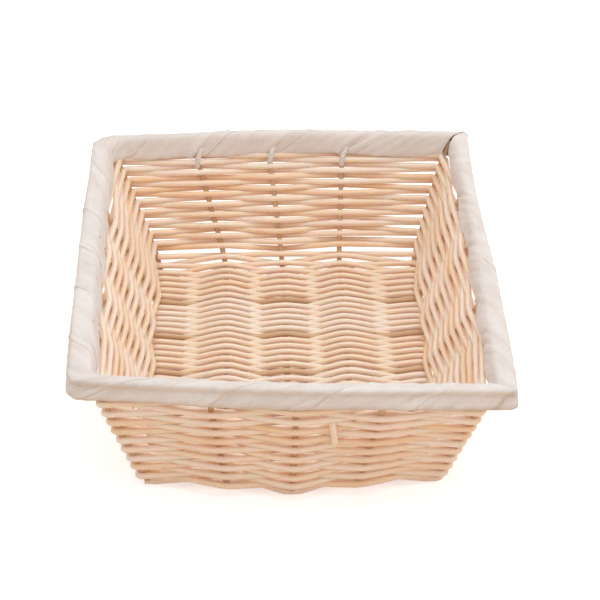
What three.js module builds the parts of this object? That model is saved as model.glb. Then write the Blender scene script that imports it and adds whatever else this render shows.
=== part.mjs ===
import * as THREE from 'three';

// Display basket: round cane woven on a frame of bent rods, with a cloth-wrapped rim.
// Millimetres, +Z up. The origin is on the ground, under the middle of the rim; the front faces -Y.

// Overall sizes: the rim is measured over the cloth, the floor between the corner posts. The middle
// of the floor is a little in front of the middle of the rim.
const rimWidth = 260;
const rimDepth = 330;
const height = 89;
const floorWidth = 174;
const floorDepth = 260;
const floorMiddleY = -1;

// The rim is not quite square: the right end of the front wall stands forward of its middle by this
// much, and the left end as far behind it
const frontSkew = 8;

// How far each wall bows out along the rim between its corners
const sideRimBow = 3;
const frontRimBow = 5;
const backRimBow = 4;

// Round stock, and the gaps between pieces that touch
const strandDiameter = 3.2;
const rodDiameter = 3.5;
const clearance = 0.3;
const rowGap = 0.27;
const floorRowPitch = 3.8;
const seamGap = 2.2;
const endGap = 1;

// Frame of rods: where the inner ribs and the cross rods stand, how far the ends of the inner ribs
// are off to the right, and how the rods bend
const innerRibFloorX = 39.2;
const innerRibRimX = 50;
const frontRimShift = 2.5;
const backRimShift = -11;
const backFootShift = -3;
const innerCrossRimY = 26;
const outerCrossRimY = 78;
const frontBend = 3.5;
const backBend = 20;
const ribLift = 1.2;
const innerFloorRows = 11;
const extraFrontRows = 5;

// How far the foot of each wall stands out from the line of the corner posts
const frontBow = 13;
const frontBowPeak = 1.5;
const backBow = 3;
const sideBow = 4.5;

// Rim: a hoop outside the uprights, with the cloth round both. It reaches further out from the
// uprights on the long sides than on the short ends.
const sideRimReach = 14.5;
const endRimReach = 6;
const hoopHeight = 13.6;
const clothThickness = 0.85;
const clothShoulder = 1.2;

// Loose end of one course, on the outside of the front wall: how much of the way from the middle
// upright to the next it goes, and how far it hangs down
const tailShare = 0.5;
const tailLength = 16;
const tailCourseFromTop = 3;

// Plain posts from the start of one course to the start of the next, so that no two joints meet
const startStep = 5;

// Faceting of the round stock
const strandSides = 5;
const rodSides = 6;
const bendSteps = 4;
const rimSteps = 8;
const turnSteps = 4;

// How closely a place on a rod is searched for
const searchStep = 0.001;

const strandRadius = strandDiameter / 2;
const rodRadius = rodDiameter / 2;
const rowPitch = strandDiameter + rowGap;
const weaveOffset = rodRadius + strandRadius + clearance;
const rodCrossing = rodDiameter + clearance;

// Heights: the crimped floor rows lie on the ground under the outer and middle ribs
const facetDepth = strandRadius * Math.cos(Math.PI / strandSides);
const lowRibZ = facetDepth + weaveOffset;
const highRibZ = lowRibZ + 2 * ribLift;
const rimHeight = hoopHeight + 2 * (clothThickness + clearance);
const rimBottomZ = height - rimHeight;
const shoulderZ = height - clothShoulder;
const firstCourseRise = weaveOffset + rowPitch;
const lastCourseZ = rimBottomZ - strandRadius - clearance;
const rodTopZ = rimBottomZ + clothThickness + clearance + hoopHeight - clothShoulder;

// Lines that the uprights stand on at the rim, and the half width of the slot that they stand in
const rimSlot = rodRadius + clearance;
const rimPostX = rimWidth / 2 - sideRimReach - sideRimBow;
const rimPostY = rimDepth / 2 - endRimReach;
const sidePostX = (y) => rimPostX + sideRimBow * Math.cos((Math.PI * y) / rimDepth);
function endPostY(side, x) {
  const bow = Math.cos((Math.PI * x) / rimWidth);
  if (side > 0) return rimPostY - backRimBow * (1 - bow);
  return frontSkew * (1 - x / (rimPostX + sideRimReach)) - rimPostY - frontRimBow * bow;
}

const vec = (x, y, z) => new THREE.Vector3(x, y, z);

// Indexed triangles as a geometry
function solid(points, triangles) {
  const geometry = new THREE.BufferGeometry().setFromPoints(points);
  geometry.setIndex(triangles);
  geometry.computeVertexNormals();
  return geometry;
}

// Tube of flat facets through the points, capped at both ends. One facet faces away from `up`,
// which is one direction for the whole tube or one for each point.
function tube(points, radius, sides, up) {
  const last = points.length - 1;
  const skin = [];
  const triangles = [];
  points.forEach((point, i) => {
    const along = vec(0, 0, 0);
    if (i > 0) along.add(point.clone().sub(points[i - 1]).normalize());
    if (i < last) along.add(points[i + 1].clone().sub(point).normalize());
    along.normalize();
    const reference = Array.isArray(up) ? up[i] : up;
    const top = reference.clone().addScaledVector(along, -reference.dot(along)).normalize();
    const side = along.clone().cross(top);
    for (let j = 0; j < sides; j += 1) {
      const angle = Math.PI * (1 + (2 * j + 1) / sides);
      const spoke = top.clone().multiplyScalar(Math.cos(angle)).addScaledVector(side, Math.sin(angle));
      skin.push(point.clone().addScaledVector(spoke, radius));
    }
  });
  for (let i = 0; i < last; i += 1) {
    for (let j = 0; j < sides; j += 1) {
      const next = (j + 1) % sides;
      const here = i * sides;
      const there = here + sides;
      triangles.push(here + j, here + next, there + j, here + next, there + next, there + j);
    }
  }
  for (let j = 1; j < sides - 1; j += 1) {
    const end = last * sides;
    triangles.push(0, j + 1, j, end, end + j, end + j + 1);
  }
  return solid(skin, triangles);
}

// Point on the rim, part of the way from one corner to the next. A section point is how far it stands
// out from the uprights on the long sides, how far on the short ends, and its height.
function rimPoint(corner, next, share, [sideOut, endOut, z]) {
  const [from, to] = [corner, next].map(([sideX, sideY]) => {
    const x = sideX * (rimPostX + sideOut);
    return vec(x, endPostY(sideY, x) + sideY * endOut, z);
  });
  const point = from.lerp(to, share);
  if (share === 0) return point;
  if (corner[1] === next[1]) return point.setY(endPostY(corner[1], point.x) + corner[1] * endOut);
  return point.setX(corner[0] * (sidePostX(point.y) + sideOut));
}

// Closed band of one section round the rim
function rimRing(section) {
  const corners = [[-1, -1], [1, -1], [1, 1], [-1, 1]];
  const shares = Array.from({ length: rimSteps }, (_, i) => i / rimSteps);
  const stations = corners.flatMap((corner, i) => shares.map((share) =>
    section.map((point) => rimPoint(corner, corners[(i + 1) % corners.length], share, point))));
  const triangles = stations.flatMap((_, i) => section.flatMap((__, j) => {
    const here = i * section.length;
    const there = ((i + 1) % stations.length) * section.length;
    const next = (j + 1) % section.length;
    return [here + j, there + j, there + next, here + j, there + next, here + next];
  }));
  return solid(stations.flat(), triangles);
}

// Path of a bent rod: straight runs between the corners, with a bend where a setback is given
function bentPath(corners, setbacks) {
  const path = new THREE.CurvePath();
  let start = corners[0];
  const addRun = (end) => {
    if (start.distanceTo(end) > clearance) path.add(new THREE.LineCurve3(start, end));
  };
  corners.slice(1, -1).forEach((corner, i) => {
    const back = corners[i].clone().sub(corner).setLength(setbacks[i]);
    const onward = corners[i + 2].clone().sub(corner).setLength(setbacks[i]);
    const bendStart = corner.clone().add(back);
    const bendEnd = corner.clone().add(onward);
    addRun(bendStart);
    if (setbacks[i] > 0) path.add(new THREE.QuadraticBezierCurve3(bendStart, corner, bendEnd));
    start = bendEnd;
  });
  addRun(corners.at(-1));
  return path;
}

const pathPoints = (path) => [path.getPoint(0), ...path.curves.flatMap((curve) =>
  curve.isLineCurve3 ? [curve.v2] : curve.getPoints(bendSteps).slice(1))];

// Uprights: a wall run of a rod from the bend at its foot to the rim, then its tip in the rim
const upright = (foot, x, y, floorward, setback) =>
  ({ foot, top: vec(x, y, rimBottomZ), tip: vec(x, y, rodTopZ), floorward, setback });

// Place on an upright by height, on its straight run or in the bend below it
function uprightAt({ foot, top, floorward, setback }, z) {
  const bendTop = foot.clone().add(top.clone().sub(foot).setLength(setback));
  if (z >= bendTop.z) return foot.clone().lerp(top, (z - foot.z) / (top.z - foot.z));
  const share = 1 - Math.sqrt((z - foot.z) / (bendTop.z - foot.z));
  const bendEnd = foot.clone().addScaledVector(floorward, setback);
  return new THREE.QuadraticBezierCurve3(bendTop, foot, bendEnd).getPoint(share);
}

// Ribs run front to back. The outer and middle ones lie low, the two between them high.
const ribFloorX = [-floorWidth / 2, -innerRibFloorX, 0, innerRibFloorX, floorWidth / 2];
const ribRimX = [-rimPostX, -innerRibRimX, 0, innerRibRimX, rimPostX];
const ribIsOuter = (rib) => Math.abs(ribRimX[rib]) === rimPostX;
const ribIsHigh = (rib) => rib % 2 === 1;
const bowShape = (x) => Math.cos((Math.PI * x) / floorWidth) ** frontBowPeak;

// Distance along a rod from one end to where it first comes down to a height
function distanceDownTo(path, z, fromBack) {
  const length = path.getLength();
  let [above, below] = [0, length / 2];
  while (below - above > searchStep) {
    const tried = (above + below) / 2;
    const { z: triedZ } = path.getPoint((fromBack ? length - tried : tried) / length);
    if (triedZ > z) above = tried;
    else below = tried;
  }
  return above;
}

const ribs = ribFloorX.map((x, rib) => {
  const z = ribIsHigh(rib) ? highRibZ : lowRibZ;
  const end = (side, bow, footShift, rimShift, bend) => {
    const footX = x + (ribIsOuter(rib) ? 0 : footShift);
    const footY = floorMiddleY + side * (floorDepth / 2 + bow * bowShape(x));
    const rimX = ribRimX[rib] + (ribIsOuter(rib) ? 0 : rimShift);
    return upright(vec(footX, footY, z), rimX, endPostY(side, rimX), vec(0, -side, 0), bend);
  };
  const front = end(-1, frontBow, 0, frontRimShift, frontBend);
  const back = end(1, backBow, backFootShift, backRimShift, backBend);
  const path = bentPath(
    [front.tip, front.top, front.foot, back.foot, back.top, back.tip],
    [0, frontBend, backBend, 0],
  );
  const length = path.getLength();
  const frontSeam = distanceDownTo(path, z + firstCourseRise, false) + rowPitch + seamGap;
  const backSeam = length - distanceDownTo(path, z + firstCourseRise, true) - rowPitch - seamGap;
  const runs = path.curves.map((curve) => curve.getLength());
  const floorRun = runs.indexOf(Math.max(...runs));
  const middle = path.getCurveLengths()[floorRun - 1] + floorMiddleY - path.curves[floorRun].v1.y;
  return { front, back, path, length, middle, frontSeam, backSeam };
});

// Floor rows: an odd number in each length of strand, with a cross rod between two lengths. Only the
// back length has an even number, because the wall weave meets it on the other foot.
const rowsThatFit = 1 + Math.floor((ribs[0].backSeam - ribs[0].frontSeam) / floorRowPitch);
const rowsBetween = 3 * innerFloorRows + 4;
const frontFloorRows = 2 * Math.floor((rowsThatFit - rowsBetween + extraFrontRows) / 4) + 1;
const backFloorRows = frontFloorRows - extraFrontRows;
const sectionRows = [frontFloorRows, innerFloorRows, innerFloorRows, innerFloorRows, backFloorRows];
const lastRow = frontFloorRows + rowsBetween + backFloorRows - 1;

// A place on a rib by row number, and the direction from the rib into the basket
function ribAtRow(rib, row) {
  const { path, length, frontSeam, backSeam, middle } = ribs[rib];
  const share = (2 * row) / lastRow - 1;
  const distance = middle + share * (share < 0 ? middle - frontSeam : backSeam - middle);
  const point = path.getPoint(distance / length);
  const inward = vec(1, 0, 0).cross(path.getTangent(distance / length)).normalize();
  return { point, inward };
}

// Cross rods run left to right in place of a floor row, over the low ribs and under the high ones
const rowBefore = (section) => sectionRows.slice(0, section).reduce((sum, rows) => sum + rows + 1, -1);
const crossRimY = [-outerCrossRimY, -innerCrossRimY, innerCrossRimY, outerCrossRimY];

const crossRods = crossRimY.map((offset, i) => {
  const rimY = floorMiddleY + offset;
  const row = rowBefore(i + 1);
  const crossings = ribs.map((_, rib) => {
    const { point, inward } = ribAtRow(rib, row);
    return point.addScaledVector(inward, ribIsHigh(rib) ? -rodCrossing : rodCrossing);
  });
  const end = (side, crossing) =>
    upright(crossing.clone().add(vec(side * sideBow, 0, 0)), side * sidePostX(rimY), rimY, vec(-side, 0, 0), sideBow);
  const left = end(-1, crossings[0]);
  const right = end(1, crossings.at(-1));
  const corners = [left.tip, left.top, left.foot, ...crossings, right.foot, right.top, right.tip];
  const path = bentPath(corners, [0, sideBow, ...crossings.map(() => 0), sideBow, 0]);
  return { left, right, path };
});

// Uprights in order round the basket, seen from above: front, right, back, left
const walls = [
  { along: vec(1, 0, 0), uprights: ribs.map((rib) => rib.front) },
  { along: vec(0, 1, 0), uprights: crossRods.map((rod) => rod.right) },
  { along: vec(-1, 0, 0), uprights: ribs.map((rib) => rib.back).reverse() },
  { along: vec(0, -1, 0), uprights: crossRods.map((rod) => rod.left).reverse() },
];
const ring = walls.flatMap((wall) => wall.uprights.map((upright) => ({ upright, wall })));
const isCorner = (post) => Math.abs(ring[post].upright.foot.x) === floorWidth / 2;
const plainPosts = ring.map((_, post) => post).filter((post) => !isCorner(post));
const frontMiddle = ribs.length >> 1;

// Level directions out of the walls that meet at a post: one on a straight wall, two at a corner.
// They are lengthened by the lean, so that a step of one unit clears the leaning post by one unit.
function outwardAt(post, z) {
  const { upright, wall } = ring[post];
  const before = ring[(post + ring.length - 1) % ring.length].wall;
  const after = ring[(post + 1) % ring.length].wall;
  const rise = uprightAt(upright, z + clearance).sub(uprightAt(upright, z - clearance));
  return (isCorner(post) ? [before, after] : [wall]).map(({ along }) => {
    const out = vec(along.y, -along.x, 0);
    return out.multiplyScalar(Math.hypot(rise.z, rise.dot(out)) / rise.z);
  });
}

// Wall courses, evenly spaced at each post from the floor weave there to the rim
const courseCount = 1 + Math.floor((lastCourseZ - lowRibZ - firstCourseRise) / rowPitch);
function courseZ(course, post) {
  const firstZ = ring[post].upright.foot.z + firstCourseRise;
  return firstZ + (course * (lastCourseZ - firstZ)) / (courseCount - 1);
}
const isOutside = (course, post) => (course + post) % 2 === 1;

// A stop is a point on a strand and the direction that its flat facet turns away from
function stopAt(origin, steps, up) {
  const point = origin.clone();
  steps.forEach(([direction, distance]) => point.addScaledVector(direction, distance));
  return { point, up };
}

// Where a course passes a post: flat against it on a straight wall, rounded at a corner
function passPost(course, post) {
  const { upright, wall } = ring[post];
  const outside = isOutside(course, post);
  const swing = outside ? weaveOffset : -weaveOffset;
  const z = courseZ(course, post);
  const centre = uprightAt(upright, z);
  const [first, second] = outwardAt(post, z);
  if (!second) {
    return [-1, 1].map((side) => stopAt(centre, [[first, swing], [wall.along, side * rodDiameter]], first));
  }
  const turn = swing * (outside ? Math.SQRT2 - 1 : 3 - Math.SQRT2);
  return [
    stopAt(centre, [[first, swing], [second, turn]], first),
    stopAt(centre, [[second, swing], [first, turn]], second),
  ];
}

// A course goes once round, and its two ends butt at the post where it starts
function courseStops(course, start) {
  const round = ring.flatMap((_, i) => passPost(course, (start + i) % ring.length));
  const [before, after] = round.splice(0, 2);
  const middle = before.point.clone().lerp(after.point, 0.5);
  const along = ring[start].wall.along;
  const end = (side) => stopAt(middle, [[along, (side * endGap) / 2]], after.up);
  return [end(1), after, ...round, before, end(-1)];
}

// The course with the loose end comes out past the middle of the front wall and hangs down there
function tailStops(course) {
  const [{ upright, wall }, next] = ring.slice(frontMiddle);
  const stops = courseStops(course, frontMiddle + 1).slice(0, -2);
  const z = courseZ(course, frontMiddle);
  const [out] = outwardAt(frontMiddle, z);
  const down = upright.foot.clone().sub(upright.top).normalize();
  const drop = uprightAt(upright, z)
    .lerp(uprightAt(next.upright, courseZ(course, frontMiddle + 1)), tailShare)
    .addScaledVector(out, weaveOffset + 2 * clearance);
  stops.push(stopAt(drop, [[wall.along, -strandDiameter]], out));
  stops.push(stopAt(drop, [[down, strandDiameter]], out));
  stops.push(stopAt(drop, [[down, tailLength]], out));
  return stops;
}

// Where a floor strand passes a rib: angle 0 is under it, PI is over it, and between them the
// strand turns round the outer side of a corner rib
function passRib(rib, row, angle, shift = 0) {
  const { point, inward } = ribAtRow(rib, row);
  const sideways = vec(Math.sign(ribFloorX[rib]), 0, 0);
  const toRib = inward.clone().multiplyScalar(Math.cos(angle)).addScaledVector(sideways, -Math.sin(angle));
  return stopAt(point, [[toRib, -weaveOffset], [vec(1, 0, 0), shift]], toRib);
}

// One row across the floor. Crimped rows run to the right, under the low ribs and over the high ones;
// straight rows come back the other way.
function rowStops(row, crimped) {
  const order = ribs.map((_, rib) => (crimped ? rib : ribs.length - 1 - rib));
  return order.flatMap((rib) => {
    const angle = crimped === ribIsHigh(rib) ? Math.PI : 0;
    const flat = crimped && rib === frontMiddle ? [-rodDiameter, rodDiameter] : [0];
    return flat.map((shift) => {
      const stop = passRib(rib, row, angle, shift);
      if (ribIsHigh(rib)) stop.up.negate();
      return stop;
    });
  });
}

// Half turn from one row to the next round a corner rib
function turnStops(row, crimped) {
  const rib = crimped ? ribs.length - 1 : 0;
  const shares = Array.from({ length: turnSteps - 1 }, (_, i) => (i + 1) / turnSteps);
  return shares.map((share) => passRib(rib, row + share, Math.PI * (crimped ? share : 1 - share)));
}

function floorStops(section) {
  const first = rowBefore(section) + 1;
  const count = sectionRows[section];
  const stops = [passRib(0, first, 0, -rodDiameter)];
  for (let i = 0; i < count; i += 1) {
    const crimped = i % 2 === 0;
    stops.push(...rowStops(first + i, crimped));
    if (i < count - 1) stops.push(...turnStops(first + i, crimped));
  }
  if (count % 2 === 1) stops.push(passRib(ribs.length - 1, first + count - 1, 0, rodDiameter));
  return stops;
}

const strand = (stops) =>
  tube(stops.map((stop) => stop.point), strandRadius, strandSides, stops.map((stop) => stop.up));

// Sections of the rim: the hoop, and the cloth that is open only where the uprights enter
const hoopBottomZ = rimBottomZ + clothThickness + clearance;
const hoopTopZ = hoopBottomZ + hoopHeight;
const liningBottomZ = rimBottomZ + clothThickness;
const liningTopZ = height - clothThickness;
const innerFace = -rimSlot - clothThickness;
const even = (out, z) => [out, out, z];
const fromOuterFace = (depth, z) => [sideRimReach - depth, endRimReach - depth, z];
const hoopSection = [
  even(rimSlot, hoopBottomZ),
  fromOuterFace(clothThickness + clearance, hoopBottomZ),
  fromOuterFace(clothThickness + clearance, hoopTopZ),
  even(rimSlot, hoopTopZ),
];
const wrapSection = [
  even(rimSlot, rimBottomZ),
  fromOuterFace(0, rimBottomZ),
  fromOuterFace(0, shoulderZ),
  fromOuterFace(clothShoulder, height),
  even(innerFace + clothShoulder, height),
  even(innerFace, shoulderZ),
  even(innerFace, rimBottomZ),
  even(-rimSlot, rimBottomZ),
  even(-rimSlot, liningTopZ),
  fromOuterFace(clothThickness, liningTopZ),
  fromOuterFace(clothThickness, liningBottomZ),
  even(rimSlot, liningBottomZ),
];

const basket = new THREE.Group();
function addPiece(name, geometry, look) {
  const mesh = new THREE.Mesh(geometry, new THREE.MeshStandardMaterial({ metalness: 0, ...look }));
  mesh.name = name;
  basket.add(mesh);
}
const caneLook = { color: 0xecd3b8, roughness: 0.45 };
const rodLook = { color: 0xc0a083, roughness: 0.6 };
const hoopLook = { color: 0xae8360, roughness: 0.7 };
const clothLook = { color: 0xe6dccf, roughness: 0.95 };

const ribNames = ['rib_left_corner', 'rib_left', 'rib_middle', 'rib_right', 'rib_right_corner'];
ribs.forEach(({ path }, i) => {
  addPiece(ribNames[i], tube(pathPoints(path), rodRadius, rodSides, vec(1, 0, 0)), rodLook);
});
crossRods.forEach(({ path }, i) => {
  addPiece(`cross_rod_${i + 1}`, tube(pathPoints(path), rodRadius, rodSides, vec(0, 1, 0)), rodLook);
});
sectionRows.forEach((_, i) => {
  addPiece(`floor_strand_${i + 1}`, strand(floorStops(i)), caneLook);
});
const tailCourse = courseCount - 1 - tailCourseFromTop;
for (let course = 0; course < courseCount; course += 1) {
  const start = plainPosts[(startStep * course) % plainPosts.length];
  const stops = course === tailCourse ? tailStops(course) : courseStops(course, start);
  addPiece(`wall_course_${String(course + 1).padStart(2, '0')}`, strand(stops), caneLook);
}
addPiece('rim_hoop', rimRing(hoopSection), hoopLook);
addPiece('rim_wrap', rimRing(wrapSection), clothLook);

export default basket;
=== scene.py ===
# %% [markdown]
# # A woven display basket
# The basket is round cane, woven over and under a frame of bent rods, and its rim is wound with a
# cotton strip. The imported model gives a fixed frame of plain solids. This lesson dresses that frame:
# every strand becomes a smooth, slightly uneven tube, and the strip becomes real cloth with turns,
# overlaps and gathers. Places are worked out from the sizes that the solids have, and some are then
# moved by a few millimetres, because a basket made by hand is never quite even.

# %% Load the frame
import math

import bpy
import numpy as np
from mathutils import Matrix


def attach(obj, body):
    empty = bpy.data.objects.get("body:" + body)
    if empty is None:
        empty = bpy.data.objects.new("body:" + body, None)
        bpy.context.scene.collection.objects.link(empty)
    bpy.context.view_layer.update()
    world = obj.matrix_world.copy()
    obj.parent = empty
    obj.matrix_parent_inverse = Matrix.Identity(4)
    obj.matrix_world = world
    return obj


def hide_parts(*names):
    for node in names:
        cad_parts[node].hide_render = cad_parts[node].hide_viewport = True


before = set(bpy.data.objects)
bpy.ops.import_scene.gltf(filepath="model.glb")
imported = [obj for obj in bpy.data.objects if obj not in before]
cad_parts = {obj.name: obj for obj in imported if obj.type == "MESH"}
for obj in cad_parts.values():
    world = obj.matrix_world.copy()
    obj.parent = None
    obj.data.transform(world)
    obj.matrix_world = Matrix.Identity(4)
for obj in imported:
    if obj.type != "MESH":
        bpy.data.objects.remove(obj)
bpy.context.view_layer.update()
print("solids in the frame:", len(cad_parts))

# %% [markdown]
# ## Sizes
# The sizes are in millimetres, as a basket maker would give them, and a mesh is scaled to metres when
# it is made. The sizes that many steps share stand here. A size that one step needs stands with it.

# %% Sizes of the basket
MM = 0.001
RIM_WIDTH = 260.0
RIM_DEPTH = 330.0
HEIGHT = 89.0
FLOOR_WIDTH = 174.0
FLOOR_DEPTH = 260.0
FLOOR_MIDDLE_Y = -1.0
ROD_RADIUS = 1.75
WALL_STRAND_RADIUS = 1.97
FLOOR_STRAND_RADIUS = 1.92
ROW_PITCH = 3.47
WEAVE_OFFSET = 3.65
SECTION_ROWS = [19, 11, 11, 11, 14]
COURSES = 18
print("courses:", COURSES, "floor rows:", sum(SECTION_ROWS))

# %% [markdown]
# ## Camera
# The photograph was taken from in front of a short side, a good way off and from about thirty degrees
# above, so a long lens gives its gentle perspective. A camera could be moved by eye until the picture
# fits. Here its angles and distance are numbers, fitted to the corners of the rim and the floor.

# %% Camera
FOCAL_PIXELS = 2300.0
IMAGE_PIXELS = 600.0
CAMERA_TARGET = np.array([7.585, 29.3, 35.0])
CAMERA_DISTANCE = 1503.3
CAMERA_AZIMUTH = math.radians(-0.85)
CAMERA_ELEVATION = math.radians(30.28)
CAMERA_ROLL = math.radians(-0.265)


def make_camera():
    data = bpy.data.cameras.new("photo_camera")
    data.sensor_width = 36.0
    data.lens = data.sensor_width * FOCAL_PIXELS / IMAGE_PIXELS
    data.clip_start = 0.05
    data.clip_end = 20.0
    camera = bpy.data.objects.new("photo_camera", data)
    bpy.context.collection.objects.link(camera)
    level = math.cos(CAMERA_ELEVATION)
    back = np.array([
        math.sin(CAMERA_AZIMUTH) * level,
        -math.cos(CAMERA_AZIMUTH) * level,
        math.sin(CAMERA_ELEVATION),
    ])
    flat_right = np.array([math.cos(CAMERA_AZIMUTH), math.sin(CAMERA_AZIMUTH), 0.0])
    flat_up = np.cross(back, flat_right)
    right = flat_right * math.cos(CAMERA_ROLL) + flat_up * math.sin(CAMERA_ROLL)
    up = np.cross(back, right)
    place = (CAMERA_TARGET + back * CAMERA_DISTANCE) * MM
    pose = np.eye(4)
    pose[:3] = np.column_stack([right, up, back, place])
    camera.matrix_world = Matrix(pose.tolist())
    bpy.context.scene.camera = camera
    return camera


camera = make_camera()
print("lens:", round(camera.data.lens, 1), "mm")

# %% [markdown]
# ## Rim lines
# The rim is not quite square. Its front stands askew, each wall bows out a little between its corners,
# the left wall leans out further than the right one, and the back arches. A few short functions of
# the place along the rim hold all of this, so every later piece follows the same uneven rim.

# %% Lines of the rim
RIM_BOTTOM_Z = 73.1
SIDE_RIM_REACH = 14.5
END_RIM_REACH = 6.0
SIDE_RIM_BOW = 3.0
FRONT_RIM_BOW = 5.0
BACK_RIM_BOW = 4.0
FRONT_SKEW = 8.0
LEFT_FLARE = 1.0
LEFT_FLARE_GROWTH = 4.5
FRONT_RIM_DROP = 1.8
BACK_RIM_RISE = 1.5
BACK_ARCH = 1.6
RIM_POST_X = RIM_WIDTH / 2 - SIDE_RIM_REACH - SIDE_RIM_BOW
RIM_POST_Y = RIM_DEPTH / 2 - END_RIM_REACH


def side_post_x(y):
    return RIM_POST_X + SIDE_RIM_BOW * np.cos(np.pi * y / RIM_DEPTH)


def along_share(y):
    """0 at the front of the rim, 1 at the back."""
    return y / RIM_DEPTH + 0.5


def left_flare(y):
    """The left wall leans out more than the right one, most of all at the back."""
    return LEFT_FLARE * (1 + along_share(y)) + LEFT_FLARE_GROWTH * along_share(y) ** 2


def rim_rise(y):
    """The rim sags a little at the front and stands higher at the back."""
    return -FRONT_RIM_DROP + (FRONT_RIM_DROP + BACK_RIM_RISE) * along_share(y)


def back_arch(x):
    """The back of the rim stands highest in the middle."""
    return BACK_ARCH * np.cos(np.pi * np.clip(x / RIM_WIDTH, -0.5, 0.5))


def end_post_y(side, x):
    bow = np.cos(np.pi * x / RIM_WIDTH)
    back = RIM_POST_Y - BACK_RIM_BOW * (1 - bow)
    front = FRONT_SKEW * (1 - x / (RIM_POST_X + SIDE_RIM_REACH)) - RIM_POST_Y - FRONT_RIM_BOW * bow
    return np.where(side > 0, back, front)


print("corner posts at the rim: x", RIM_POST_X, "y", RIM_POST_Y)

# %% [markdown]
# ## Uprights
# Five long rods run front to back under the floor and turn up at both ends, and four run from side to
# side. Their ends are the uprights that the walls are woven on. An upright could be a bent tube only,
# but the strands must find it at any height, so it is a small class that gives its place from a height.

# %% Uprights
ROD_TOP_Z = 86.65
TIP_CLEARANCE = 0.5
SLOPE_STEP = 0.3


def vec(x, y, z):
    return np.array([x, y, z], dtype=float)


def unit(vector):
    return vector / np.linalg.norm(vector)


class Upright:
    """A wall run of a rod, from the bend at its foot to the rim, and its tip in the rim."""

    def __init__(self, foot, x, y, floorward, setback, tip_lean):
        self.foot = foot
        self.top = vec(x, y, RIM_BOTTOM_Z)
        self.tip = vec(x + tip_lean, y, ROD_TOP_Z + rim_rise(y) - TIP_CLEARANCE)
        self.bend_top = foot + unit(self.top - foot) * setback
        self.bend_end = foot + floorward * setback

    def at(self, z):
        if z >= self.bend_top[2]:
            return self.foot + (self.top - self.foot) * (z - self.foot[2]) / (self.top[2] - self.foot[2])
        t = 1 - math.sqrt(max(0.0, z - self.foot[2]) / (self.bend_top[2] - self.foot[2]))
        return (1 - t) ** 2 * self.bend_top + 2 * t * (1 - t) * self.foot + t * t * self.bend_end

    def square_to(self, out, z):
        """The direction out of the wall, tipped to be square to the rod at that height."""
        rise = unit(self.at(z + SLOPE_STEP) - self.at(z - SLOPE_STEP))
        return unit(out - rise * (out @ rise))


print("uprights reach from the floor to z", ROD_TOP_Z - TIP_CLEARANCE, "mm")

# %% Ends of the ribs
RIB_FLOOR_X = [-87.0, -39.2, 0.0, 39.2, 87.0]
INNER_RIB_RIM_X = 50.0
FRONT_RIM_SHIFT = 2.5
BACK_RIM_SHIFT = -11.0
BACK_FOOT_SHIFT = -3.0
LEFT_TUCK = 3.2
RIGHT_TUCK = 4.0
TUCK_LEAN = 1.3
FRONT_BEND = 3.5
BACK_BEND = 20.0
LOW_RIB_Z = 4.944
HIGH_RIB_Z = 7.344
FRONT_BOW = 13.0
BACK_BOW = 3.0
BOW_PEAK = 1.5


def rib_is_high(rib):
    return rib % 2 == 1


def rib_end(rib, side):
    front = side < 0
    inner = 0 < rib < 4
    x = RIB_FLOOR_X[rib]
    bulge = (FRONT_BOW if front else BACK_BOW) * max(0.0, math.cos(math.pi * x / FLOOR_WIDTH)) ** BOW_PEAK
    foot_x = x + (0.0 if front or not inner else BACK_FOOT_SHIFT)
    foot_y = FLOOR_MIDDLE_Y + side * (FLOOR_DEPTH / 2 + bulge)
    foot = vec(foot_x, foot_y, HIGH_RIB_Z if rib_is_high(rib) else LOW_RIB_Z)
    rim_x = [-RIM_POST_X, -INNER_RIB_RIM_X, 0.0, INNER_RIB_RIM_X, RIM_POST_X][rib]
    rim_x += (FRONT_RIM_SHIFT if front else BACK_RIM_SHIFT) if inner else 0.0
    rim_x -= left_flare(side * RIM_POST_Y) if rib == 0 else 0.0
    rim_y = float(end_post_y(side, rim_x))
    tuck = [-LEFT_TUCK, 0.0, 0.0, 0.0, RIGHT_TUCK][rib]
    bend = FRONT_BEND if front else BACK_BEND
    return Upright(foot, rim_x - tuck, rim_y, vec(0, -side, 0), bend, TUCK_LEAN * tuck)


rib_fronts = [rib_end(rib, -1) for rib in range(5)]
rib_backs = [rib_end(rib, 1) for rib in range(5)]
print("rib feet, front:", [round(end.foot[1], 1) for end in rib_fronts])

# %% [markdown]
# ## Lines of the rods
# A rod's line is a chain of straight runs with a bend at each foot. The floor rows lie along the ribs and
# run up round their bends. So points are taken close together along a rib, and a lookup by distance
# then places every row on it, wherever the bend is.

# %% Rod lines
ROD_STEP = 2.0
BEND_STEPS = 14


def bent_line(corners, setbacks):
    """Points along straight runs between the corners, with a rounded bend where a setback is given."""
    line = [corners[0]]

    def run_to(end):
        count = max(1, int(np.linalg.norm(end - line[-1]) / ROD_STEP))
        start = line[-1]
        line.extend(start + (end - start) * (i + 1) / count for i in range(count))

    for before, corner, after, setback in zip(corners, corners[1:], corners[2:], setbacks):
        start = corner + unit(before - corner) * setback
        end = corner + unit(after - corner) * setback
        run_to(start)
        for t in np.linspace(0, 1, BEND_STEPS + 1)[1:] if setback else ():
            line.append((1 - t) ** 2 * start + 2 * t * (1 - t) * corner + t * t * end)
    run_to(corners[-1])
    return np.array(line)


def distances(line):
    return np.concatenate([[0.0], np.cumsum(np.linalg.norm(np.diff(line, axis=0), axis=1))])


print("a rod has a point about every", ROD_STEP, "mm")

# %% Ribs and their rows
SEAM_GAP = 2.2
FIRST_COURSE_RISE = WEAVE_OFFSET + ROW_PITCH
FRONT_SAG = 4.2
BACK_CREEP = 3.6
LAST_ROW = sum(SECTION_ROWS) + len(SECTION_ROWS) - 2
ROW_SLOPE_STEP = 0.5


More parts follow.
